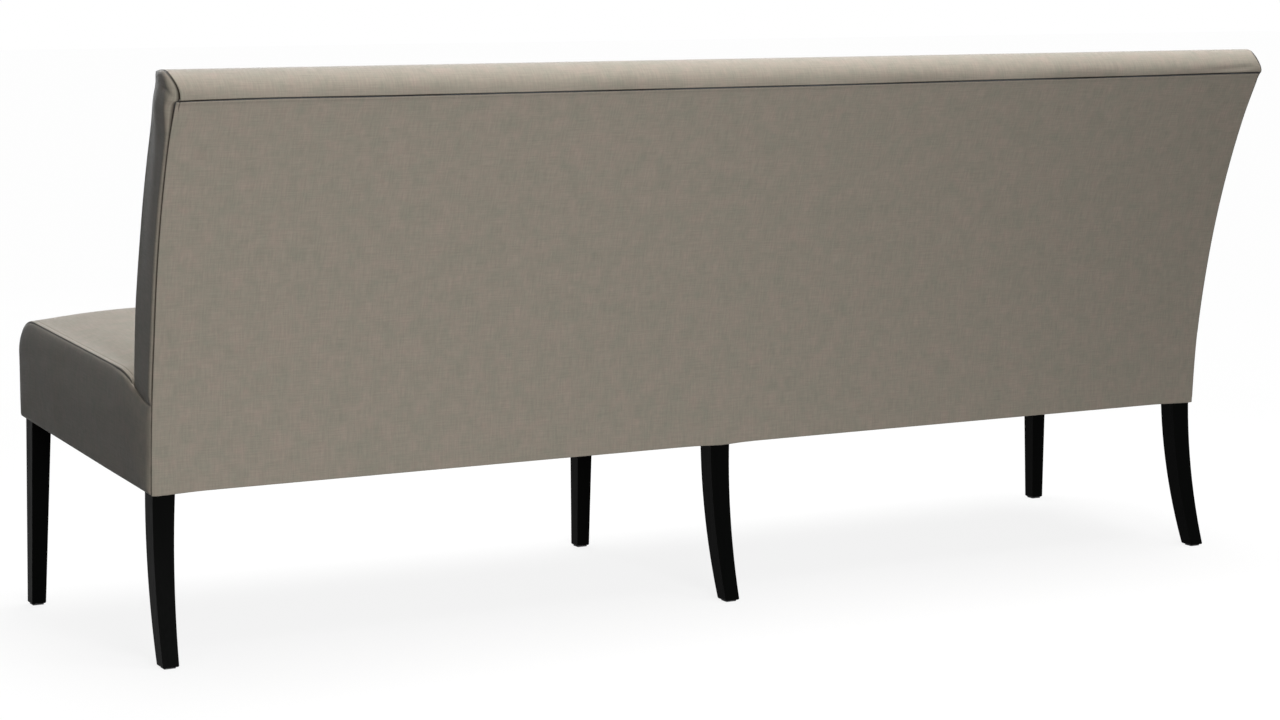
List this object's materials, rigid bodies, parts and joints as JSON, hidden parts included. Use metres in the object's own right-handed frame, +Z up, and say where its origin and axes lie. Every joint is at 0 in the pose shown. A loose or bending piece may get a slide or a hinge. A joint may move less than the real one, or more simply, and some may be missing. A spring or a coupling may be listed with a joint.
{
  "type": "dining bench",
  "caption": "Long upholstered dining bench with a curved, raked padded back, a crowned seat with flared ends, and slim black wooden legs that are swept at the rear.",
  "frame": {"origin": "on the floor, under the middle of the bench: the bottom centre of its bounding box", "axes": "+X along the bench towards its right end as seen from the front, -Y towards the sitter's front, +Y towards the rear of the back, +Z up"},
  "size_m": [2.074, 0.6859, 0.907],
  "materials": {
    "satin_fabric": "satin weave",
    "black_lacquered_wood": "satin black lacquer",
    "beech": "planed, unfinished",
    "fibreboard": "smooth hardboard",
    "foam": "open-cell foam",
    "webbing": "elastic webbing",
    "dust_cloth": "non-woven cloth",
    "felt": "pressed felt",
    "zinc_steel": "zinc plated"
  },
  "bodies": {
    "root": {"back_board": "fibreboard", "back_end_strip_left": "satin_fabric", "back_end_strip_right": "satin_fabric", "back_foam": "foam", "back_front_cover": "satin_fabric", "back_lower_rail_left": "beech", "back_lower_rail_right": "beech", "back_middle_rail_left": "beech", "back_middle_rail_right": "beech", "back_rear_panel": "satin_fabric", "back_straps": "webbing", "back_top_rail": "beech", "corner_block_screws": "zinc_steel", "corner_blocks": "beech", "dust_cover": "dust_cloth", "end_rail_left": "beech", "end_rail_right": "beech", "foot_pads": "felt", "front_leg_centre": "black_lacquered_wood", "front_leg_left": "black_lacquered_wood", "front_leg_right": "black_lacquered_wood", "front_rail_left": "beech", "front_rail_right": "beech", "middle_rail": "beech", "rear_leg_centre": "black_lacquered_wood", "rear_leg_left": "black_lacquered_wood", "rear_leg_right": "black_lacquered_wood", "rear_rail_left": "beech", "rear_rail_right": "beech", "seat_cross_straps": "webbing", "seat_end_panel_left": "satin_fabric", "seat_end_panel_right": "satin_fabric", "seat_foam": "foam", "seat_long_straps": "webbing", "seat_top_cover": "satin_fabric"}
  },
  "joints": []
}
